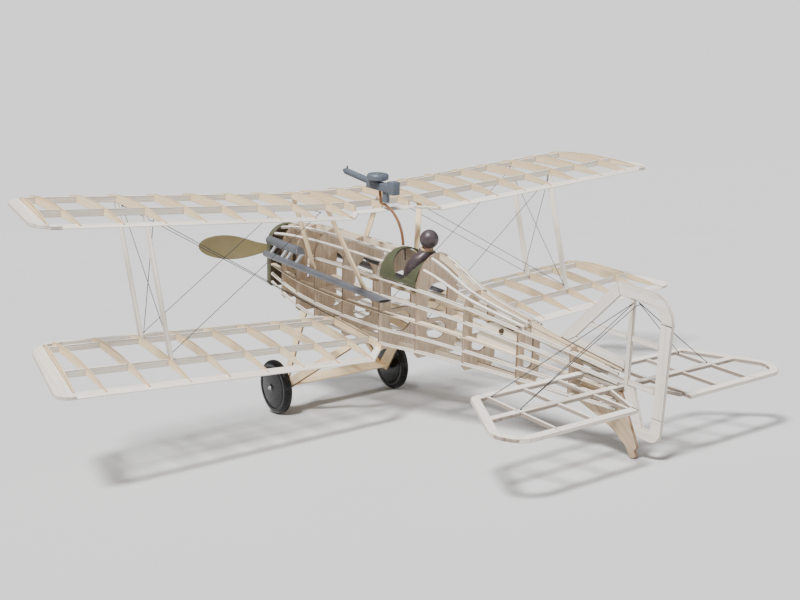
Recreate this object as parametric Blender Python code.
"""Rubber-powered balsa biplane skeleton, built as a Blender scene of separate named pieces.

Sizes below are millimetres in the aircraft's own frame: X to the pilot's left, Y aft, Z up, with Z = 0
at the lower wing root and Y = 0 near the nose. The airframe empty then sets the whole model on its wheels
and tail skid, with the origin under the middle of its box, and meshes are written in metres.
"""

import math

import bmesh
import bpy
from mathutils import Matrix, Vector

MM = 0.001
GAP = 0.3  # glue line between neighbouring pieces

# Wings: both planes share one panel design
CHORD = 116.0
RIB_HEIGHT = 7.6
UNDERCAMBER = 0.8
RIB_THICKNESS = 1.6
TIP_RIB_SHARE = 0.8  # height of the tip rib against the others
INNER_RIB_X = 46.0
RIB_PITCH = 31.9
PANEL_RIBS = 8
STRUT_RIB = 5
FRONT_SPAR_C = 19.0
REAR_SPAR_C = 74.0
SPAR_WIDTH = 2.4
SPAR_LIFT = 0.7  # spar bottom above the chord line
SPAR_DROP = 1.4  # spar top below the ribs' tops
EDGE_DEPTH = 3.2
TRAILING_WIDTH = 9.5
TRAILING_THICKNESS = 1.8
BOW_THICKNESS = 2.4
BOW_START_X = 261.5
TRAILING_END_X = 291.8
TIP_RIB = ((276.8, 9.0), (290.9, 107.5))  # x and distance from the leading edge, at each end
UPPER_WING = {
    "leading_y": 65.5, "z": 107.4, "dihedral": 0.070, "knee_x": 43.5, "root_x": INNER_RIB_X,
    "incidence": math.radians(0.7), "tip_x": 304.3, "rake": 0.14, "heel": 18.0,
}
LOWER_WING = {
    "leading_y": 100.0, "z": 0.0, "dihedral": 0.064, "knee_x": 22.0, "root_x": 23.7,
    "incidence": math.radians(2.7), "tip_x": 306.8, "rake": 0.17, "heel": 10.0,
}
CUTOUT_C = 98.5  # trailing edge of the centre section, from the leading edge
ROOT_CUT_C = 94.0  # trailing edge of the lower wing's root rib
CENTRE_RIB_X = 27.6

# Fuselage stations: y, half width, bottom z, waist z, top z
STATIONS = (
    (0.0, 20.0, 7.0, 48.0, 66.0),
    (24.0, 21.0, 0.5, 49.0, 71.0),
    (52.0, 22.0, -5.0, 50.0, 75.0),
    (84.0, 22.0, -8.5, 52.0, 77.0),
    (130.0, 22.0, -9.0, 54.0, 78.5),
    (186.0, 22.0, -6.0, 56.0, 79.5),
    (236.0, 21.0, 0.5, 57.0, 85.5),
    (290.0, 16.0, 5.0, 55.0, 67.0),
    (346.0, 11.0, 9.0, 51.0, 58.0),
    (396.0, 6.6, 12.0, 47.5, 51.5),
    (441.0, 4.2, 15.0, 44.0, 47.0),
)
FORMER_Y = (24.0, 52.0, 84.0, 130.0, 186.0, 236.0, 290.0, 346.0, 396.0)
FORMER_THICKNESS = 1.6
WINDOW_SHARE = 0.47  # half width of a former's windows against its own
SLIM_WINDOW_SHARE = 0.4
WINDOW_SILL = 13.5  # from the former's bottom to its lower window
WINDOW_BAR = 3.0  # web between the two windows
STRINGER = 2.4
KEEL_DEPTH = 5.0
KEEL_THICKNESS = 1.6
CORNER_CHAMFER = 3.0
SIDE_FRACTIONS = (0.05, 0.27, 0.5, 0.75, 1.0)
SIDE_KEEL_FRACTION = 0.5
SIDE_KEEL_THICKNESS = 1.6
SIDE_KEEL_DEPTH = 6.5
DEPTH_SHARE = 0.42  # the most that a strip takes of the half width
ARCH_ANGLES = (math.radians(37), math.radians(65))
DECK_START_Y = 1.6
COCKPIT_FRONT_Y = 184.0
COCKPIT_REAR_Y = 238.0
DECK_END_Y = 350.0
SLIM_HALF_WIDTH = 12.0  # formers narrower than this lie under the deck strips instead of being notched
TAIL_END_Y = 439.0
POST_Y = 426.0
NOSE_FRONT_Y = -6.0
NOSE_BACK_Y = 1.2

# Pilot: the torso's sections are (z, half width, half depth)
TORSO = ((56.5, 9.0, 6.4), (63.0, 12.4, 8.4), (71.0, 13.2, 8.8), (78.0, 12.4, 8.0), (83.6, 6.5, 5.4))
HEAD = Vector((0.0, 223.0, 93.8))
HEAD_RADIUS = 7.7

# Power train
THRUST_Z = 39.5
PROP_TURN = math.radians(7)  # how far the left blade points up at rest
PROP_Y = -14.5
PROP_RADIUS = 88.0
PROP_CHORD = 24.0
PROP_PITCH = 200.0
HUB_RADIUS = 4.2
SHAFT_RADIUS = 0.75
BUSH_BORE = 0.83
BUSH_RADIUS = 2.4
HOOK_RADIUS = 3.0
PEG_Y = 328.0
PEG_Z = 46.0
PEG_RADIUS = 1.6
PLATE_AHEAD = 20.0  # from the peg forward to its plate's front edge
PLATE_BEHIND = 16.0
MOTOR_RADIUS = 2.2

# Struts; the cabane heads are (name, x, distance from the leading edge), then the foot's y and z
STRUT_WIDTH = 6.2
STRUT_THICKNESS = 2.2
CABANE_WIDTH = 6.5
CABANES = {
    "left": (("front", 43.6, 19.0, 85.0, 43.0), ("rear", 43.6, 74.0, 165.5, 42.5)),
    "right": (("front", 48.6, 19.0, 86.0, 43.0), ("rear", 48.8, 78.0, 174.5, 43.0)),
}

# Undercarriage and stance
AXLE = Vector((0.0, 87.0, -61.0))
AXLE_RADIUS = 0.8
WHEEL_X = 63.5
WHEEL_RADIUS = 24.5
WHEEL_BORE = 0.88
LEG_X = 53.5
LEG_WIDTH = 6.0
LEG_THICKNESS = 2.0
LEG_TOP = (20.8, -2.9)  # x and z where a leg meets the underside of the lower side strip
LEG_REAR_DROP = 1.0  # the strip lies lower at the rear leg
SKID_FOOT = Vector((0.0, 454.5, -11.3))
SKID_HALF_FOOT = 2.0

# Exhaust and valve covers, on each side of the nose
COVER = Vector((22.8, 2.4, 53.4))
COVER_RADIUS = 4.1
COVER_LENGTH = 63.0
PIPE = Vector((28.4, 4.6, 41.4))
PIPE_RADIUS = 3.1
PIPE_LENGTH = 207.0
SCARF_ANGLE = math.radians(68)
SCARF_ROLL = math.radians(-25)
STUB_Y = (18.0, 38.0, 47.0, 64.0)

# Tail
STAB_Z = 34.0
STAB_THICKNESS = 2.4
FIN_SPAR_Y = 443.6

THREAD_RADIUS = 0.25

COLOURS = {
    "balsa": ((0.86, 0.72, 0.52), 0.75, 0.0),
    "pale_balsa": ((0.86, 0.80, 0.72), 0.75, 0.0),
    "copper_wood": ((0.56, 0.34, 0.20), 0.6, 0.0),
    "olive_paint": ((0.15, 0.17, 0.09), 0.5, 0.0),
    "khaki_plastic": ((0.26, 0.22, 0.10), 0.4, 0.0),
    "grey_plastic": ((0.25, 0.26, 0.29), 0.4, 0.0),
    "slate_plastic": ((0.14, 0.17, 0.21), 0.5, 0.0),
    "black_plastic": ((0.01, 0.01, 0.01), 0.15, 0.0),
    "leather_paint": ((0.11, 0.08, 0.085), 0.4, 0.0),
    "steel": ((0.6, 0.6, 0.62), 0.3, 1.0),
    "brass": ((0.7, 0.5, 0.2), 0.35, 1.0),
    "rubber": ((0.05, 0.04, 0.03), 0.7, 0.0),
    "thread": ((0.12, 0.13, 0.13), 0.8, 0.0),
}


def clear_scene():
    for obj in list(bpy.data.objects):
        bpy.data.objects.remove(obj, do_unlink=True)


def material(name):
    """One Principled material for each entry of COLOURS."""
    found = bpy.data.materials.get(name)
    if found:
        return found
    colour, roughness, metallic = COLOURS[name]
    made = bpy.data.materials.new(name)
    made.use_nodes = True
    shader = made.node_tree.nodes["Principled BSDF"]
    shader.inputs["Base Color"].default_value = (*colour, 1.0)
    shader.inputs["Roughness"].default_value = roughness
    shader.inputs["Metallic"].default_value = metallic
    made.diffuse_color = (*colour, 1.0)
    return made


def add(name, bm, finish, origin=None):
    """Makes a mesh object from a bmesh in millimetres, with its origin at a point of the aircraft's frame."""
    bmesh.ops.recalc_face_normals(bm, faces=bm.faces)
    if sum(face.calc_center_median().dot(face.normal) * face.calc_area() for face in bm.faces) < 0:
        bmesh.ops.reverse_faces(bm, faces=bm.faces)
    origin = origin or Vector()
    bm.transform(Matrix.Scale(MM, 4) @ Matrix.Translation(-origin))
    mesh = bpy.data.meshes.new(name)
    bm.to_mesh(mesh)
    bm.free()
    mesh.materials.append(material(finish))
    obj = bpy.data.objects.new(name, mesh)
    obj.location = origin * MM
    bpy.context.scene.collection.objects.link(obj)
    return obj


def boolean(target, others, operation):
    """Joins the others to the target, or cuts them from it, and removes them."""
    operands = bpy.data.collections.new("operands")
    bpy.context.scene.collection.children.link(operands)
    for other in others:
        bpy.context.scene.collection.objects.unlink(other)
        operands.objects.link(other)
    step = target.modifiers.new("boolean", "BOOLEAN")
    step.operation = operation
    step.solver = "EXACT"
    step.operand_type = "COLLECTION"
    step.collection = operands
    graph = bpy.context.evaluated_depsgraph_get()
    result = bpy.data.meshes.new_from_object(target.evaluated_get(graph))
    target.modifiers.clear()
    target.data = result
    result.name = target.name
    for other in others:
        bpy.data.objects.remove(other, do_unlink=True)
    bpy.data.collections.remove(operands)
    return target


def union(name, pieces):
    pieces[0].name = name
    return boolean(pieces[0], pieces[1:], "UNION")


def cut(target, cutters):
    return boolean(target, cutters, "DIFFERENCE")


def smooth(obj, degrees=35.0):
    obj.data.shade_smooth()
    obj.data.set_sharp_from_angle(angle=math.radians(degrees))
    return obj


def loft(rings):
    """A closed solid through rings of the same number of points, capped at both ends."""
    bm = bmesh.new()
    made = [[bm.verts.new(point) for point in ring] for ring in rings]
    for first, second in zip(made, made[1:]):
        for i, vert in enumerate(first):
            j = (i + 1) % len(first)
            bm.faces.new((vert, first[j], second[j], second[i]))
    bm.faces.new(made[0][::-1])
    bm.faces.new(made[-1])
    return bm


def box(low, high):
    (x0, y0, z0), (x1, y1, z1) = low, high
    return loft(
        [
            [(x, y0, z0), (x, y1, z0), (x, y1, z1), (x, y0, z1)]
            for x in (x0, x1)
        ]
    )


def plate(loops, thickness, place):
    """A flat sheet with holes: loops are 2D outlines, the first one outside, and place maps (u, v, depth)."""
    bm = bmesh.new()
    for loop in loops:
        verts = [bm.verts.new((u, v, 0.0)) for u, v in loop]
        for i, vert in enumerate(verts):
            bm.edges.new((vert, verts[(i + 1) % len(verts)]))
    bmesh.ops.triangle_fill(bm, use_beauty=True, edges=bm.edges[:], normal=(0, 0, 1))
    grown = bmesh.ops.extrude_face_region(bm, geom=bm.faces[:])
    lifted = [item for item in grown["geom"] if isinstance(item, bmesh.types.BMVert)]
    bmesh.ops.translate(bm, verts=lifted, vec=(0, 0, thickness))
    for vert in bm.verts:
        vert.co = place(*vert.co)
    return bm


def rounded(corners, segments=6):
    """The corners (u, v, radius) as an outline whose corners are arcs."""
    outline = []
    count = len(corners)
    for i, (u, v, radius) in enumerate(corners):
        corner = Vector((u, v))
        before = (Vector(corners[i - 1][:2]) - corner).normalized()
        after = (Vector(corners[(i + 1) % count][:2]) - corner).normalized()
        half = math.acos(max(-1.0, min(1.0, before.dot(after)))) / 2
        if radius == 0 or half > math.radians(89):
            outline.append((u, v))
            continue
        centre = corner + (before + after).normalized() * radius / math.sin(half)
        start = corner + before * radius / math.tan(half) - centre
        end = corner + after * radius / math.tan(half) - centre
        turn = start.angle_signed(end)
        for k in range(segments + 1):
            arm = start.copy()
            arm.rotate(Matrix.Rotation(-turn * k / segments, 2))
            outline.append(tuple(centre + arm))
    return outline


def ellipse(u, v, radius_u, radius_v, count=18):
    turns = [2 * math.pi * i / count for i in range(count)]
    return [(u + radius_u * math.cos(turn), v + radius_v * math.sin(turn)) for turn in turns]


def lathe(profile, origin, axis, count=20):
    """A solid turned about an axis: profile lists (distance along the axis, radius)."""
    axis = Vector(axis).normalized()
    side = axis.orthogonal().normalized()
    rings = []
    for along, radius in profile:
        centre = Vector(origin) + axis * along
        turns = [Matrix.Rotation(2 * math.pi * i / count, 3, axis) for i in range(count)]
        rings.append([centre + turn @ side * radius for turn in turns])
    return loft(rings)


def bar(start, end, width, depth, across):
    """A straight strip of rectangular section; across is the direction of its width."""
    start, end, across = Vector(start), Vector(end), Vector(across)
    along = (end - start).normalized()
    across = (across - along * across.dot(along)).normalized() * width / 2
    up = along.cross(across).normalized() * depth / 2
    corners = (across + up, up - across, -across - up, across - up)
    return loft([[point + corner for corner in corners] for point in (start, end)])


def strut(start, end, width, depth):
    """A strut of rounded section with level ends, its longer side fore and aft."""
    turns = [2 * math.pi * i / 12 for i in range(12)]
    flat = [max(-0.8, min(0.8, math.sin(turn) * 1.2)) / 0.8 for turn in turns]
    section = [Vector((depth / 2 * f, width / 2 * math.cos(turn), 0.0)) for f, turn in zip(flat, turns)]
    return loft([[Vector(point) + corner for corner in section] for point in (start, end)])


def wire(name, route, radius, finish, resolution=2, origin=None):
    """A round wire, thread or strand along a route of points."""
    origin = origin or Vector()
    curve = bpy.data.curves.new(name, "CURVE")
    curve.dimensions = "3D"
    curve.bevel_depth = radius * MM
    curve.bevel_resolution = resolution
    curve.use_fill_caps = True
    spline = curve.splines.new("POLY")
    spline.points.add(len(route) - 1)
    for point, place in zip(spline.points, route):
        point.co = (*((Vector(place) - origin) * MM), 1.0)
    curve.materials.append(material(finish))
    obj = bpy.data.objects.new(name, curve)
    obj.location = origin * MM
    bpy.context.scene.collection.objects.link(obj)
    return obj


def eased(corners, radius, steps=2):
    """A route through the corners with each turn eased into a short bend."""
    points = [Vector(corners[0])]
    for before, corner, after in zip(corners, corners[1:], corners[2:]):
        corner = Vector(corner)
        start = corner + (Vector(before) - corner).normalized() * radius
        end = corner + (Vector(after) - corner).normalized() * radius
        for k in range(steps + 1):
            share = k / steps
            points.append(start.lerp(corner, share).lerp(corner.lerp(end, share), share))
    points.append(Vector(corners[-1]))
    return points


# ---------------------------------------------------------------- wings


def upper_surface(c):
    share = c / CHORD
    return RIB_HEIGHT * 2.598 * math.sqrt(share) * (1 - share)


def lower_surface(c):
    return UNDERCAMBER * math.sin(math.pi * c / CHORD)


def wing_point(wing, side, x, c, h):
    """A point of a wing: x outwards, c back from the leading edge and h above the chord line."""
    turn = wing["incidence"]
    y = wing["leading_y"] + c * math.cos(turn) + h * math.sin(turn)
    z = wing["z"] + max(0.0, x - wing["knee_x"]) * wing["dihedral"]
    return Vector((side * x, y, z - c * math.sin(turn) + h * math.cos(turn)))


def rib(wing, side, x, front, back):
    """A rib as an upright sheet between two chordwise positions."""
    steps = 6
    stations = [front + (back - front) * i / steps for i in range(steps + 1)]
    outline = [(c, upper_surface(c)) for c in stations] + [(c, lower_surface(c)) for c in stations[::-1]]
    shift = x - RIB_THICKNESS / 2
    return plate([outline], RIB_THICKNESS, lambda c, h, t: wing_point(wing, side, shift + t, c, h))


def tip_rib(wing, side):
    """The lower, slanted rib along the tip sheet."""
    (front_x, front), (rear_x, back) = TIP_RIB
    steps = 6
    rings = []
    for i in range(steps + 1):
        share = i / steps
        x, c = front_x + (rear_x - front_x) * share, front + (back - front) * share
        low, high = 0.2, max(2.0, upper_surface(c) * TIP_RIB_SHARE)
        inner, outer = x - RIB_THICKNESS / 2, x + RIB_THICKNESS / 2
        corners = ((inner, low), (outer, low), (outer, high), (inner, high))
        rings.append([wing_point(wing, side, across, c, h) for across, h in corners])
    return loft(rings)


def spanwise(wing, side, starts, ends):
    """A spanwise strip: starts and ends are (x, front c, back c, low h, high h)."""
    rings = []
    for x, front, back, low, high in (starts, ends):
        corners = ((front, low), (back, low), (back, high), (front, high))
        rings.append([wing_point(wing, side, x, c, h) for c, h in corners])
    return loft(rings)


def spar(wing, side, c, start, end):
    front, back = c - SPAR_WIDTH / 2, c + SPAR_WIDTH / 2
    low, high = SPAR_LIFT, upper_surface(c) - SPAR_DROP
    return spanwise(wing, side, (start, front, back, low, high), (end, front, back, low, high))


def tip_outline(wing):
    """The tip sheet seen from above as (x, c) points: the rounded outer edge, then back along the tip rib."""
    edge_x, heel = wing["tip_x"], wing["heel"]
    front_x = edge_x - wing["rake"] * CHORD
    (front_rib_x, front_c), (rear_rib_x, rear_c) = TIP_RIB
    gap = RIB_THICKNESS / 2 + GAP
    strip_end, strip_front = TRAILING_END_X + GAP, CHORD - TRAILING_WIDTH - GAP
    corners = [
        (BOW_START_X, 0.0, 0), (front_x, 0.0, 29.0), (edge_x, CHORD, heel), (strip_end, CHORD, 0),
        (strip_end, strip_front, 0), (rear_rib_x + gap, strip_front, 0),
        (front_rib_x + gap, front_c - 2.0, 0), (front_rib_x - 1.2, 4.8, 0), (BOW_START_X, EDGE_DEPTH, 0),
    ]
    return rounded(corners, 7)


def tip_bow(wing, side):
    sheet = [tip_outline(wing)]
    return plate(sheet, BOW_THICKNESS, lambda x, c, h: wing_point(wing, side, x, c, h))


def rib_positions():
    return [INNER_RIB_X + RIB_PITCH * i for i in range(PANEL_RIBS)]


def trailing_strip(wing, side, start, end):
    front, back = CHORD - TRAILING_WIDTH, CHORD
    height = TRAILING_THICKNESS
    return spanwise(wing, side, (start, front, back, 0.1, height), (end, front, back, 0.1, height))


def rib_grid(wing, side, root_x):
    """The ribs, spars and trailing edge of one panel, which are glued into one grid."""
    pieces = [spar(wing, side, FRONT_SPAR_C, root_x, 278.0), spar(wing, side, REAR_SPAR_C, root_x, 286.0)]
    pieces.append(trailing_strip(wing, side, INNER_RIB_X - RIB_THICKNESS / 2, TRAILING_END_X))
    for x in rib_positions():
        front = EDGE_DEPTH + GAP if x < BOW_START_X else 5.2
        pieces.append(rib(wing, side, x, front, CHORD - TRAILING_WIDTH + 1.5))
    pieces.append(tip_rib(wing, side))
    if wing is LOWER_WING:
        pieces.append(rib(wing, side, root_x + RIB_THICKNESS / 2, EDGE_DEPTH + GAP, ROOT_CUT_C))
        inner = (root_x + 0.4, ROOT_CUT_C - 8.5, ROOT_CUT_C, 0.2, 1.7)
        outer = (INNER_RIB_X + 0.6, CHORD - TRAILING_WIDTH, CHORD - 0.4, 0.2, 1.7)
        pieces.append(spanwise(wing, side, inner, outer))
    return pieces


def leading_strip(wing, side, start, end):
    return spanwise(wing, side, (start, 0.0, EDGE_DEPTH, -0.6, 2.8), (end, 0.0, EDGE_DEPTH, -0.6, 2.8))


def build_panel(label, wing, side):
    root_x = wing["root_x"] - RIB_THICKNESS / 2
    grid = [add(f"{label}_piece", bm, "balsa") for bm in rib_grid(wing, side, root_x)]
    union(f"{label}_ribs_and_spars", grid)
    add(f"{label}_leading_edge", leading_strip(wing, side, root_x, BOW_START_X - GAP), "pale_balsa")
    add(f"{label}_tip_bow", tip_bow(wing, side), "pale_balsa")


def build_centre_section():
    """The flat middle of the upper wing, with its trailing edge cut forward over the cockpit."""
    wing, edge = UPPER_WING, INNER_RIB_X - RIB_THICKNESS / 2 - GAP
    pieces = []
    for c in (FRONT_SPAR_C, REAR_SPAR_C):
        pieces.append(spar(wing, 1, c, -edge, edge))
    pieces.append(leading_strip(wing, 1, -edge, edge))
    back = (CUTOUT_C - 8.0, CUTOUT_C, 0.1, TRAILING_THICKNESS)
    pieces.append(spanwise(wing, 1, (-CENTRE_RIB_X - 1, *back), (CENTRE_RIB_X + 1, *back)))
    for x in (-CENTRE_RIB_X, 0.0, CENTRE_RIB_X):
        pieces.append(rib(wing, 1, x, EDGE_DEPTH - 0.5, CUTOUT_C - 5.0))
    for side in (1, -1):
        inner = (CENTRE_RIB_X - 0.5, CUTOUT_C - 7.6, CUTOUT_C - 0.4, 0.2, 1.7)
        outer = (edge - 0.3, CHORD - TRAILING_WIDTH, CHORD, 0.2, 1.7)
        pieces.append(spanwise(wing, side, inner, outer))
        pieces.append(rib(wing, side, edge - RIB_THICKNESS / 2, EDGE_DEPTH - 0.5, 108.0))
    union("centre_section_frame", [add("centre_piece", bm, "balsa") for bm in pieces])


def build_wings():
    for label, side in (("left", 1), ("right", -1)):
        build_panel(f"upper_{label}", UPPER_WING, side)
        build_panel(f"lower_{label}", LOWER_WING, side)
    build_centre_section()


# ---------------------------------------------------------------- fuselage


def station(y):
    """Half width, bottom, waist and top of the fuselage at a distance from the nose."""
    y = max(STATIONS[0][0], min(STATIONS[-1][0], y))
    for before, after in zip(STATIONS, STATIONS[1:]):
        if y <= after[0]:
            share = (y - before[0]) / (after[0] - before[0])
            return [a + (b - a) * share for a, b in zip(before[1:], after[1:])]


def section_outline(y, grow=0.0):
    """The fuselage's D-shaped section as (x, z) points, anticlockwise."""
    half, bottom, waist, top = station(y)
    half, bottom, top = half + grow, bottom - grow, top + grow
    right = [(half - CORNER_CHAMFER, bottom), (half, bottom + CORNER_CHAMFER), (half, waist)]
    arch = [
        (half * math.cos(turn), waist + (top - waist) * math.sin(turn))
        for turn in (math.pi * i / 16 for i in range(1, 16))
    ]
    left = [(-x, z) for x, z in right[::-1]]
    return right + arch + left


def side_place(y, fraction):
    """A point of the fuselage side and its outward direction."""
    half, bottom, waist, _ = station(y)
    low = bottom + CORNER_CHAMFER
    return Vector((half, low + (waist - low) * fraction)), Vector((1.0, 0.0))


def arch_place(y, angle):
    half, _, waist, top = station(y)
    place = Vector((half * math.cos(angle), waist + (top - waist) * math.sin(angle)))
    normal = Vector((math.cos(angle) * (top - waist), math.sin(angle) * half)).normalized()
    return place, normal


def breaks(start, end):
    return [start] + [row[0] for row in STATIONS if start < row[0] < end] + [end]


def strip_depth(y, depth):
    """How far a strip reaches inwards: less near the tail, where both sides come together."""
    return min(depth, station(y)[0] * DEPTH_SHARE)


def stringer(place_at, side, start, end, width, depth):
    """A strip let into the formers, its outer face on the fuselage's outline."""
    rings = []
    for y in breaks(start, end):
        place, normal = place_at(y)
        tangent = Vector((-normal.y, normal.x))
        deep = strip_depth(y, depth)
        ring = []
        for across, inwards in ((-1, 0), (1, 0), (1, 1), (-1, 1)):
            point = place + tangent * across * width / 2 - normal * inwards * deep
            ring.append((side * point.x, y, point.y))
        rings.append(ring)
    return loft(rings)


def side_runs():
    """Every side strip as (place function, start, end, width, depth)."""
    for fraction in SIDE_FRACTIONS:
        start = 75.0 if fraction > 0.9 else DECK_START_Y
        width, depth = STRINGER, STRINGER
        if fraction == SIDE_KEEL_FRACTION:
            width, depth = SIDE_KEEL_THICKNESS, SIDE_KEEL_DEPTH
        yield (lambda y, f=fraction: side_place(y, f)), start, TAIL_END_Y, width, depth


def arch_runs():
    for angle in ARCH_ANGLES:
        yield (lambda y, a=angle: arch_place(y, a)), DECK_START_Y, COCKPIT_FRONT_Y
        yield (lambda y, a=angle: arch_place(y, a)), COCKPIT_REAR_Y, DECK_END_Y


def keel_place(y, top):
    _, bottom, _, high = station(y)
    return Vector((0.0, high if top else bottom)), Vector((0.0, 1.0 if top else -1.0))


def keel(top, start, end):
    return stringer(lambda y: keel_place(y, top), 1, start, end, KEEL_THICKNESS, KEEL_DEPTH)


def notch(place, normal, side, y, width, depth):
    """A short cutter round one strip where it passes a former."""
    tangent = Vector((-normal.y, normal.x)) * (width / 2 + GAP)
    rings = []
    for along in (y - 3.0, y + 3.0):
        corners = (place + normal * 2 - tangent, place + normal * 2 + tangent)
        corners += (place - normal * (depth + GAP) + tangent, place - normal * (depth + GAP) - tangent)
        rings.append([(side * point.x, along, point.y) for point in corners])
    return loft(rings)


def notch_cutters(y):
    """What a former gives way to: the strips, the keels and the valve covers."""
    cutters = []
    for side in (1, -1):
        for place_at, start, end, width, depth in side_runs():
            if start - 3 < y < end + 3:
                cutters.append(notch(*place_at(y), side, y, width, strip_depth(y, depth)))
        for place_at, start, end in arch_runs():
            if start - 3 < y < end + 3 and station(y)[0] > SLIM_HALF_WIDTH:
                cutters.append(notch(*place_at(y), side, y, STRINGER, STRINGER))
        cover = Vector((side * COVER.x, 0.0, COVER.z))
        cutters.append(lathe([(0.0, COVER_RADIUS + 0.5), (70.0, COVER_RADIUS + 0.5)], cover, (0, 1, 0), 16))
    cutters.append(notch(*keel_place(y, True), 1, y, KEEL_THICKNESS, KEEL_DEPTH))
    cutters.append(notch(*keel_place(y, False), 1, y, KEEL_THICKNESS, KEEL_DEPTH))
    return [add("cutter", bm, "balsa") for bm in cutters]


def window(half, low, high, pointed):
    """A window with a half-round sill and a round or pointed arch, as a 2D outline."""
    sill = [math.pi + math.pi * i / 8 for i in range(9)]
    outline = [(half * math.cos(turn), low + half * 0.8 * (1 + math.sin(turn))) for turn in sill]
    if pointed:
        spring = high - 1.5 * half
        arch = [math.pi * i / 24 for i in range(1, 9)]
        right = [(2 * half * math.cos(turn) - half, spring + 1.732 * half * math.sin(turn)) for turn in arch]
        return outline + right + [(-x, z) for x, z in right[-2::-1]]
    arch = [math.pi * i / 10 for i in range(1, 10)]
    return outline + [(half * math.cos(turn), high - half * 0.7 * (1 - math.sin(turn))) for turn in arch]


def former_holes(y):
    """A lower window and an upper one, through which the rubber motor passes."""
    half, bottom, waist, _ = station(y)
    wide = half * WINDOW_SHARE
    if wide < 4.0:
        return []
    split = side_place(y, SIDE_KEEL_FRACTION)[0].y
    if half < SLIM_HALF_WIDTH:
        return [window(half * SLIM_WINDOW_SHARE, bottom + 12.0, waist + 1.0, False)]
    lower = window(wide, bottom + WINDOW_SILL, split - WINDOW_BAR / 2, False)
    upper = [(x, z) for x, z in window(wide, split - wide, waist + 4.0, y < COCKPIT_FRONT_Y)]
    flat = split + WINDOW_BAR / 2
    return [lower, [(x, max(z, flat)) for x, z in upper[8:] + upper[:1]]]


def former_outline(y):
    """The section, lowered below the deck strips where it is slim."""
    outline = section_outline(y)
    half, _, waist, top = station(y)
    if half > SLIM_HALF_WIDTH or y > DECK_END_Y:
        return outline
    under = STRINGER + GAP + 0.2
    across, up = 1 - under / half, 1 - under / (top - waist)
    return [(x * across, waist + (z - waist) * up) if z > waist else (x, z) for x, z in outline]


def build_formers():
    for number, y in enumerate(FORMER_Y, 1):
        outline = former_outline(y)
        front = y - FORMER_THICKNESS / 2
        loops = [outline] + former_holes(y)
        sheet = plate(loops, FORMER_THICKNESS, lambda u, v, t, front=front: (u, front + t, v))
        cut(add(f"former_{number}", sheet, "balsa"), notch_cutters(y))


def mirror_box(side, low, high):
    """A box given for the left side, or its mirror image on the right."""
    ends = sorted((side * low[0], side * high[0]))
    return box((ends[0], *low[1:]), (ends[1], *high[1:]))


def build_side_stringers():
    """The side strips, with a post at the tail and a plate that carries the motor peg."""
    for label, side in (("left", 1), ("right", -1)):
        pieces = []
        for place_at, start, end, width, depth in side_runs():
            pieces.append(stringer(place_at, side, start, end, width, depth))
        half, bottom, _, _ = station(POST_Y)
        top = STAB_Z - STAB_THICKNESS / 2 - 0.5
        foot, head = (half - 2.0, POST_Y - 1.5, bottom + 3.4), (half - 0.2, POST_Y + 1.5, top)
        pieces.append(mirror_box(side, foot, head))
        low, high = side_place(PEG_Y, SIDE_KEEL_FRACTION)[0].y, side_place(PEG_Y, 1.0)[0].y
        half = station(PEG_Y)[0]
        front, back = (half - 2.2, PEG_Y - PLATE_AHEAD, low), (half - 1.0, PEG_Y + PLATE_BEHIND, high)
        pieces.append(mirror_box(side, front, back))
        strips = union(f"{label}_side_stringers", [add("strip", bm, "pale_balsa") for bm in pieces])
        hole = lathe([(-20, PEG_RADIUS + GAP), (20, PEG_RADIUS + GAP)], (0, PEG_Y, PEG_Z), (1, 0, 0), 16)
        cut(strips, [add("cutter", hole, "balsa")])


def arch_bow(y, depth, thickness):
    """A thin arch that ties deck strips together, just inside the outline."""
    outer = [point for point in section_outline(y, -0.2) if point[1] >= station(y)[2] + 2.2]
    half, _, waist, top = station(y)
    shrink = 1.0 - depth / half
    lift = 1.0 - depth / (top - waist)
    inner = [(x * shrink, max(waist + 1.8, waist + (z - waist) * lift)) for x, z in outer[::-1]]
    return plate([outer + inner], thickness, lambda u, v, t: (u, y + t, v))


def build_decks():
    front = [keel(True, DECK_START_Y, COCKPIT_FRONT_Y), arch_bow(181.0, 3.4, 2.0)]
    rear = [keel(True, COCKPIT_REAR_Y, TAIL_END_Y), arch_bow(347.3, 3.2, 2.2)]
    for side in (1, -1):
        for place_at, start, end in arch_runs():
            deck = front if start == DECK_START_Y else rear
            deck.append(stringer(place_at, side, start, end, STRINGER, STRINGER))
    union("front_deck_stringers", [add("strip", bm, "pale_balsa") for bm in front])
    union("turtledeck_stringers", [add("strip", bm, "pale_balsa") for bm in rear])
    add("bottom_keel", keel(False, DECK_START_Y, 398.5), "pale_balsa")


def build_nose():
    loops = [section_outline(0.0, 0.6), ellipse(0.0, THRUST_Z, BUSH_RADIUS + GAP, BUSH_RADIUS + GAP)]
    depth = NOSE_BACK_Y - NOSE_FRONT_Y
    add("nose_block", plate(loops, depth, lambda u, v, t: (u, NOSE_FRONT_Y + t, v)), "olive_paint")
    profile = [(-1.6, 3.6), (-GAP, 3.6), (-GAP, BUSH_RADIUS), (depth + 0.4, BUSH_RADIUS)]
    bush = add("thrust_bush", lathe(profile, (0, NOSE_FRONT_Y, THRUST_Z), (0, 1, 0)), "brass")
    bore = lathe([(-5.0, BUSH_BORE), (depth + 5.0, BUSH_BORE)], (0, NOSE_FRONT_Y, THRUST_Z), (0, 1, 0))
    smooth(cut(bush, [add("cutter", bore, "brass")]))


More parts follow.
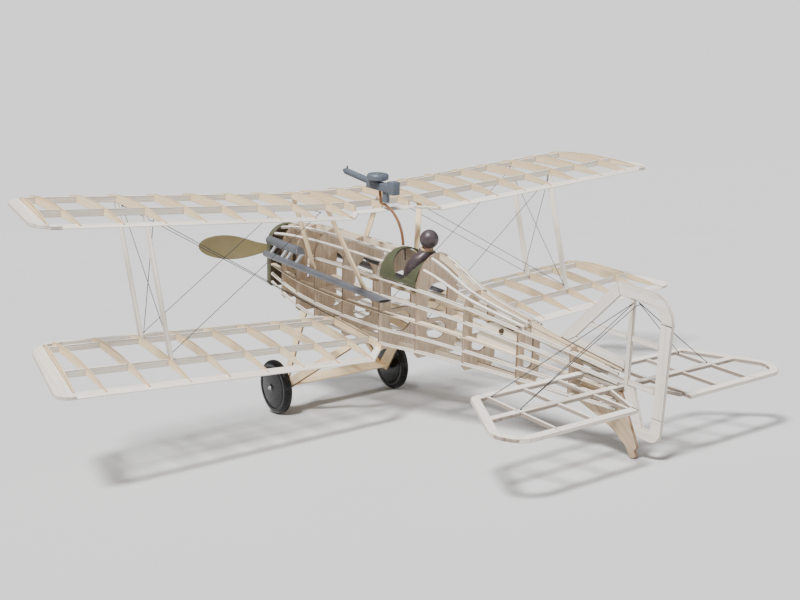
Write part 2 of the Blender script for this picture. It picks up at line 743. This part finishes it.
def coaming_shell(grow):
    """The arched sheet round the cockpit, as a solid of the given growth over the fuselage's outline."""
    rings = []
    for y in (187.4, 234.8):
        half, _, waist, _ = station(y)
        top = 80.0 + grow
        half, waist = half + grow, waist + 2.6
        turns = [math.pi * i / 20 for i in range(21)]
        rings.append([(half * math.cos(turn), y, waist + (top - waist) * math.sin(turn)) for turn in turns])
    return rings


def build_cockpit():
    outer = add("cockpit_coaming", loft(coaming_shell(1.1)), "olive_paint")
    inner = coaming_shell(0.3)
    for ring, longer in zip(inner, (-1.0, 1.0)):
        ring[:] = [(x, y + longer, z - 0.5) for x, y, z in ring]
    well = plate([ellipse(0.0, 211.8, 21.2, 19.4, 32)], 60.0, lambda u, v, t: (u, v, 40.0 + t))
    cut(outer, [add("cutter", loft(inner), "balsa"), add("cutter", well, "balsa")])
    rings = []
    for z, half, depth in TORSO:
        lean = 207.5 + (z - 58.0) * 0.52
        rings.append([(x, lean + y, z) for x, y in ellipse(0.0, 0.0, half, depth, 20)])
    smooth(add("pilot_torso", loft(rings), "leather_paint"), 60)
    profile = [(-HEAD_RADIUS - 1.9, 3.6), (-HEAD_RADIUS + 0.5, 3.6)]
    for i in range(2, 10):
        turn = math.pi * i / 10
        profile.append((-HEAD_RADIUS * math.cos(turn), HEAD_RADIUS * math.sin(turn)))
    head = lathe(profile + [(HEAD_RADIUS, 0.6)], HEAD, (0, 0, 1))
    smooth(add("pilot_head", head, "leather_paint"), 60)
    gun = lathe([(0.0, 2.3), (30.0, 2.3), (30.0, 1.2), (34.0, 1.2)], (8.5, 178.0, 63.0), (0, -1, 0), 12)
    add("fixed_gun_barrel", gun, "black_plastic")


# ---------------------------------------------------------------- power train


def blade_rings(side):
    """One twisted blade: its leading edge is on top on the side that rises."""
    rings = []
    roll = Matrix.Rotation(-PROP_TURN, 3, "Y")
    steps = 10
    for i in range(steps + 1):
        share = i / steps
        r = 2.0 + (PROP_RADIUS - 2.0) * share
        leaf = max(0.0, 1 - ((share - 0.62) / 0.385) ** 2) ** 0.5 if share > 0.62 else 0.0
        width = PROP_CHORD * (0.28 + 0.72 * math.sin(math.pi / 2 * min(1.0, share / 0.62)) ** 1.6)
        width = max(PROP_CHORD * leaf, 3.0) if share > 0.62 else width
        angle = min(math.radians(52), math.atan(PROP_PITCH / (2 * math.pi * r)))
        chord = roll @ Vector((0.0, -math.sin(angle), math.cos(angle) * side))
        thick = roll @ Vector((0.0, math.cos(angle), math.sin(angle) * side)) * (1.6 - 0.9 * share)
        centre = Vector((0.0, PROP_Y, THRUST_Z)) + roll @ Vector((side * r, 0.0, 0.0))
        turns = [2 * math.pi * k / 10 for k in range(10)]
        rings.append([centre + chord * width / 2 * math.cos(turn) + thick * math.sin(turn) for turn in turns])
    return rings


def build_propeller():
    centre = Vector((0.0, PROP_Y, THRUST_Z))
    hub = lathe([(-4.0, HUB_RADIUS), (4.6, HUB_RADIUS)], centre, (0, 1, 0))
    shapes = (hub, loft(blade_rings(1)), loft(blade_rings(-1)))
    prop = union("propeller", [add("blade", bm, "khaki_plastic", centre) for bm in shapes])
    bore = lathe([(-12.0, SHAFT_RADIUS + 0.15), (12.0, SHAFT_RADIUS + 0.15)], centre, (0, 1, 0))
    smooth(cut(prop, [add("cutter", bore, "steel")]))
    hook_y = NOSE_BACK_Y + 8.0
    route = [(0.0, PROP_Y - 7.0, THRUST_Z), (0.0, hook_y, THRUST_Z)]
    for i in range(1, 11):
        turn = math.radians(-90 + 27 * i)
        aft = hook_y + HOOK_RADIUS * math.cos(turn) + 0.6
        route.append((0.0, aft, THRUST_Z + HOOK_RADIUS * (1 + math.sin(turn))))
    wire("propeller_shaft", route, SHAFT_RADIUS, "steel", 4, centre)


def build_motor():
    start, end = NOSE_BACK_Y + 13.2, PEG_Y - PEG_RADIUS - 0.6
    count = 20
    low = THRUST_Z + HOOK_RADIUS
    step = Vector((0.0, end - start, PEG_Z - low)) / count
    route = [Vector((0.0, start, low)) + step * i for i in range(count + 1)]
    wire("rubber_motor", route, MOTOR_RADIUS, "rubber")
    half = station(PEG_Y)[0]
    peg = lathe([(-half + 0.4, PEG_RADIUS), (half - 0.4, PEG_RADIUS)], (0, PEG_Y, PEG_Z), (1, 0, 0), 16)
    smooth(add("motor_peg", peg, "balsa"))


def build_exhausts():
    for label, side in (("left", 1), ("right", -1)):
        cover = Vector((side * COVER.x, COVER.y, COVER.z))
        pipe = Vector((side * PIPE.x, PIPE.y, PIPE.z))
        profile = [(0.0, COVER_RADIUS), (COVER_LENGTH - 6.0, COVER_RADIUS)]
        pieces = [lathe(profile + [(COVER_LENGTH, COVER_RADIUS - 2.0)], cover, (0, 1, 0))]
        pieces.append(lathe([(0.0, 2.0), (1.4, PIPE_RADIUS), (PIPE_LENGTH, PIPE_RADIUS)], pipe, (0, 1, 0)))
        for y in STUB_Y:
            low = Vector((side * (PIPE.x - 0.4), y - 3.0, PIPE.z + 1.0))
            high = Vector((side * (COVER.x + 1.2), y + 1.5, COVER.z - 2.0))
            pieces.append(strut(low, high, 3.8, 2.6))
        joined = union(f"{label}_exhaust", [add("pipe", bm, "grey_plastic") for bm in pieces])
        mouth = pipe + Vector((0, PIPE_LENGTH, 0))
        inner = PIPE_RADIUS - 0.7
        bore = lathe([(0.0, inner), (30.0, inner)], mouth - Vector((0, 24, 0)), (0, 1, 0))
        scarf = box((-20.0, 0.0, -20.0), (20.0, 30.0, 20.0))
        slope = Matrix.Rotation(side * SCARF_ROLL, 4, "Y") @ Matrix.Rotation(-SCARF_ANGLE, 4, "X")
        scarf.transform(Matrix.Translation(mouth - Vector((0, 8.5, 0))) @ slope)
        smooth(cut(joined, [add("cutter", bore, "steel"), add("cutter", scarf, "steel")]))


# ---------------------------------------------------------------- tail


def stab_outline():
    """Half of the tailplane's outer edge on one side, as rounded corners (x, y, radius)."""
    return [(100.5, 402.0, 8.0), (131.5, 459.0, 14.0), (121.0, 477.5, 18.0)]


def build_stabiliser():
    right = stab_outline()
    notch = [(25.0, 477.0, 0), (10.5, 441.5, 0), (-10.5, 441.5, 0), (-25.0, 477.0, 0)]
    left = [(-x, y, r) for x, y, r in right[::-1]]
    outline = rounded([(0.0, 402.0, 0)] + right + notch + left, 5)
    low = STAB_Z - STAB_THICKNESS / 2
    holes = []
    lines = (3.2, 27.5, 59.0, 90.0)
    for side in (1, -1):
        for inner, outer in zip(lines, lines[1:]):
            inner, outer = inner + 1.3, outer - 1.3
            slant = 8.5 if inner < 10 else 0.0
            front = [(inner, 408.0), (outer, 408.0), (outer, 435.5), (inner, 435.5)]
            holes.append([(side * x, y) for x, y in front])
            aft = [(inner + slant, 441.0), (outer, 441.0), (outer, 471.0), (inner + 2.4 * slant, 471.0)]
            holes.append([(side * x, y) for x, y in aft])
        tip = rounded([(91.3, 408.5, 0), (96.6, 408.5, 2.0), (111.2, 435.5, 0), (91.3, 435.5, 0)], 3)
        holes.append([(side * x, y) for x, y in tip])
        tip = [(91.3, 471.0, 0), (91.3, 441.0, 0), (114.2, 441.0, 0)]
        tip += [(124.0, 459.5, 8.0), (118.0, 470.6, 10.0)]
        holes.append([(side * x, y) for x, y in rounded(tip, 4)])
    sheet = plate([outline] + holes, STAB_THICKNESS, lambda u, v, t: (u, v, low + t))
    add("stabiliser_frame", sheet, "pale_balsa")


def build_fin():
    """Fin and rudder as one flat frame of 2.4 mm strips, with an open lower end aft of the sternpost."""
    outline = rounded(
        [
            (FIN_SPAR_Y - 2.0, 47.8, 0), (FIN_SPAR_Y - 2.0, 37.0, 0), (456.0, 4.6, 3.0), (476.5, 4.6, 9.0),
            (479.0, 104.5, 19.0), (430.5, 105.8, 12.0), (379.5, 54.2, 0), (387.0, 53.3, 0),
        ],
        7,
    )
    spar_back = FIN_SPAR_Y + 2.0
    holes = [
        [(394.4, 57.8), (441.6, 53.5), (441.6, 68.2), (404.7, 68.2)],
        [(408.1, 71.6), (441.6, 71.6), (441.6, 96.4), (432.6, 96.4)],
        rounded([(spar_back, 71.6, 0), (468.8, 71.6, 0), (469.4, 95.6, 9.0), (spar_back, 96.4, 0)], 4),
        [(spar_back, 41.2), (468.4, 41.2), (468.8, 68.2), (spar_back, 68.2)],
        [(451.0, 37.8), (468.2, 37.8), (467.4, 12.0), (461.2, 12.0)],
    ]
    thickness = STAB_THICKNESS
    sheet = plate([outline] + holes, thickness, lambda u, v, t: (t - thickness / 2, u, v))
    add("fin_and_rudder_frame", sheet, "pale_balsa")
    ground = Vector((math.cos(stance_angle()), math.sin(stance_angle()))) * SKID_HALF_FOOT
    toe, heel = SKID_FOOT.yz - ground, SKID_FOOT.yz + ground
    skid = rounded(
        [
            (400.0, 13.2, 0), (404.0, 29.5, 3.0), (434.0, 31.5, 0), (440.6, 31.5, 0), (454.2, 4.6, 3.0),
            (458.2, -3.0, 2.0), (455.4, -5.6, 2.0), (458.0, -8.6, 1.2), (*heel, 0), (*toe, 0),
            (447.5, -4.6, 6.0), (436.0, 2.6, 8.0), (420.0, 8.0, 0),
        ],
        4,
    )
    add("tail_skid", plate([skid], 2.4, lambda u, v, t: (t - 1.2, u, v)), "balsa")


# ---------------------------------------------------------------- struts, gear, guns and rigging


def build_struts():
    x = INNER_RIB_X + RIB_PITCH * STRUT_RIB
    beside = x - (RIB_THICKNESS + STRUT_THICKNESS) / 2 - GAP
    for label, side in (("left", 1), ("right", -1)):
        for name, c in (("front", FRONT_SPAR_C), ("rear", REAR_SPAR_C)):
            foot = wing_point(LOWER_WING, side, beside, c, upper_surface(c) - SPAR_DROP + GAP + 0.2)
            head = wing_point(UPPER_WING, side, x, c, lower_surface(c) - GAP - 0.2)
            body = strut(foot, head, STRUT_WIDTH, STRUT_THICKNESS)
            smooth(add(f"{label}_{name}_interplane_strut", body, "pale_balsa"))
        for name, head_x, c, foot_y, foot_z in CABANES[label]:
            head = wing_point(UPPER_WING, side, head_x, c, lower_surface(c) - GAP - 0.3)
            foot = Vector((side * (22.0 + GAP + 1.3), foot_y, foot_z))
            smooth(add(f"{label}_{name}_cabane_strut", strut(foot, head, CABANE_WIDTH, 2.0), "balsa"))


def leg_sheet(side):
    """The two strips of one undercarriage leg, cut as a flat V that leans in to the lower side strip."""
    vertex = Vector((side * LEG_X, AXLE.y, AXLE.z))
    inwards = Vector((side * LEG_TOP[0], AXLE.y, LEG_TOP[1])) - vertex
    height = inwards.length
    rise = inwards.normalized()
    outwards = rise.cross(Vector((0, 1, 0))).normalized() * side
    half = LEG_WIDTH / 2
    front, rear = -24.0, 74.0
    outline = rounded(
        [
            (-4.6, -4.4, 3.0), (4.6, -4.4, 3.0), (rear + half, height - LEG_REAR_DROP, 0),
            (rear - 5 - half, height - LEG_REAR_DROP, 0),
            (1.2, 6.6, 2.0), (front + 3.4 + half, height, 0), (front - half, height, 0),
        ],
        4,
    )

    def place(u, v, t):
        return vertex + Vector((0, u, 0)) + rise * v + outwards * (t - LEG_THICKNESS / 2)

    return plate([outline], LEG_THICKNESS, place)


def wheel_profile():
    """The moulded wheel: a rounded tyre edge and a domed cover on each face."""
    rim = [(5.6, WHEEL_BORE + 2.2), (4.6, 10.0), (3.6, 18.0), (4.0, 20.5), (2.8, 23.4)]
    front = [(-along, radius) for along, radius in rim]
    return front + [(0.0, WHEEL_RADIUS)] + rim[::-1]


def build_gear():
    for label, side in (("left", 1), ("right", -1)):
        legs = add(f"{label}_gear_legs", leg_sheet(side), "balsa")
        vertex, reach = (side * LEG_X, AXLE.y, AXLE.z), AXLE_RADIUS + GAP
        hole = lathe([(-9.0, reach), (9.0, reach)], vertex, (1, 0, 0), 16)
        cut(legs, [add("cutter", hole, "steel")])
        hub = Vector((side * WHEEL_X, AXLE.y, AXLE.z))
        wheel = add(f"{label}_wheel", lathe(wheel_profile(), hub, (1, 0, 0), 36), "black_plastic", hub)
        bore = lathe([(-9.0, WHEEL_BORE), (9.0, WHEEL_BORE)], hub, (1, 0, 0), 24)
        smooth(cut(wheel, [add("cutter", bore, "steel")]))
    board = box((-50.0, AXLE.y - 10.0, AXLE.z + 1.2), (50.0, AXLE.y + 10.0, AXLE.z + 2.8))
    add("spreader_board", board, "balsa")
    end = WHEEL_X + 5.6
    profile = [(-end - 2.0, 1.2), (-end - 0.4, 1.8), (-end - 0.4, AXLE_RADIUS), (end + 0.4, AXLE_RADIUS)]
    profile += [(end + 0.4, 1.8), (end + 2.0, 1.2)]
    smooth(add("axle", lathe(profile, AXLE, (1, 0, 0), 24), "steel"))


def build_top_gun():
    muzzle, breech = Vector((0, 97.0, 131.6)), Vector((0, 140.0, 127.6))
    barrel = breech - muzzle
    pieces = [lathe([(0.0, 1.6), (3.0, 2.8), (barrel.length, 2.8)], muzzle, barrel, 16)]
    pieces.append(lathe([(0.0, 8.4), (1.2, 9.3), (4.4, 9.3), (5.6, 8.4)], (0, 149.0, 130.6), (0, 0, 1), 24))
    pieces.append(box((-3.2, 136.0, 122.6), (3.2, 172.0, 129.4)))
    pieces.append(box((-1.8, 146.0, 129.0), (1.8, 152.0, 131.2)))
    pieces.append(box((-3.8, 169.0, 121.6), (3.8, 176.5, 132.8)))
    pieces.append(box((-1.9, 158.5, 113.6), (1.9, 164.5, 123.0)))
    union("top_gun", [add("gun", bm, "slate_plastic") for bm in pieces])
    low, corner, head = (187.8, 81.7), (154.4, 112.0), (152.6, 122.2)
    path = [low]
    for i in range(1, 9):
        turn = math.radians(5 + 80 * i / 8)
        path.append((155.0 + 32.8 * math.cos(turn), 80.0 + 31.6 * math.sin(turn)))
    path += [corner, head]
    rings = []
    for i, (y, z) in enumerate(path):
        before, after = path[max(i - 1, 0)], path[min(i + 1, len(path) - 1)]
        along = Vector((after[0] - before[0], after[1] - before[1])).normalized()
        side = Vector((-along.y, along.x))
        corners = ((-1.1, -1), (1.1, -1), (1.1, 1), (-1.1, 1))
        rings.append([(x, y + side.x * s * 0.9, z + side.y * s * 0.9) for x, s in corners])
    add("gun_rail", loft(rings), "copper_wood")


def rigging_side(side):
    """One side's lacing, from the rear wing root round to the front one."""
    x = INNER_RIB_X + RIB_PITCH * STRUT_RIB - 3.4
    low = {c: upper_surface(c) + 1.4 for c in (FRONT_SPAR_C, REAR_SPAR_C)}
    root = LOWER_WING, side, 27.0
    return [
        wing_point(*root, REAR_SPAR_C + 5.0, 8.4),
        wing_point(UPPER_WING, side, x - 1.6, REAR_SPAR_C + 4.0, -1.6),
        wing_point(LOWER_WING, side, x - 1.6, FRONT_SPAR_C - 2.0, low[FRONT_SPAR_C] + 1.0),
        wing_point(UPPER_WING, side, 49.5, FRONT_SPAR_C - 3.0, -1.6),
        wing_point(UPPER_WING, side, 49.5, REAR_SPAR_C - 2.0, -1.6),
        wing_point(LOWER_WING, side, x, REAR_SPAR_C - 2.0, low[REAR_SPAR_C] + 1.0),
        wing_point(UPPER_WING, side, x, FRONT_SPAR_C + 3.0, -1.6),
        wing_point(*root, FRONT_SPAR_C + 3.0, 8.8),
    ]


def build_rigging():
    left, right = rigging_side(1), rigging_side(-1)
    wire("wing_rigging", eased(left + right[::-1], 2.0), THREAD_RADIUS, "thread", 1)
    top = Vector((0.0, 447.6, 94.8))
    z = STAB_Z + STAB_THICKNESS / 2 + 0.8
    half = [Vector((89.0, 410.5, z)), top + Vector((1.9, -1.4, 0.0)), Vector((88.0, 437.5, z))]
    across = [top + Vector((2.3, 1.0, -1.4)), top + Vector((-2.3, 1.0, -1.4))]
    mirrored = [Vector((-p.x, p.y, p.z)) for p in half[::-1]]
    wire("tail_rigging", eased(half + across + mirrored, 1.2), THREAD_RADIUS, "thread", 1)


# ---------------------------------------------------------------- stance


def stance_angle():
    """The nose-up tilt at which both wheels and the tail skid touch the ground."""
    span = SKID_FOOT - AXLE
    length = math.hypot(span.y, span.z)
    return math.atan2(span.z, span.y) + math.asin(WHEEL_RADIUS / length)


def stand_up():
    """Tilts the aircraft on to its wheels and skid, with the origin under the middle of its box."""
    airframe = bpy.data.objects.new("airframe", None)
    airframe.rotation_euler.x = -stance_angle()
    nodes = list(bpy.context.scene.collection.objects)
    bpy.context.scene.collection.objects.link(airframe)
    for node in nodes:
        node.parent = airframe
    bpy.context.view_layer.update()
    graph = bpy.context.evaluated_depsgraph_get()
    points = []
    for node in nodes:
        solid = node.evaluated_get(graph)
        points += [solid.matrix_world @ vert.co for vert in solid.to_mesh().vertices]
        solid.to_mesh_clear()
    low = Vector([min(point[i] for point in points) for i in range(3)])
    high = Vector([max(point[i] for point in points) for i in range(3)])
    airframe.location = (0.0, -(low.y + high.y) / 2, -low.z)


def main():
    clear_scene()
    build_wings()
    build_formers()
    build_side_stringers()
    build_decks()
    build_nose()
    build_cockpit()
    build_propeller()
    build_motor()
    build_exhausts()
    build_stabiliser()
    build_fin()
    build_struts()
    build_gear()
    build_top_gun()
    build_rigging()
    stand_up()


main()
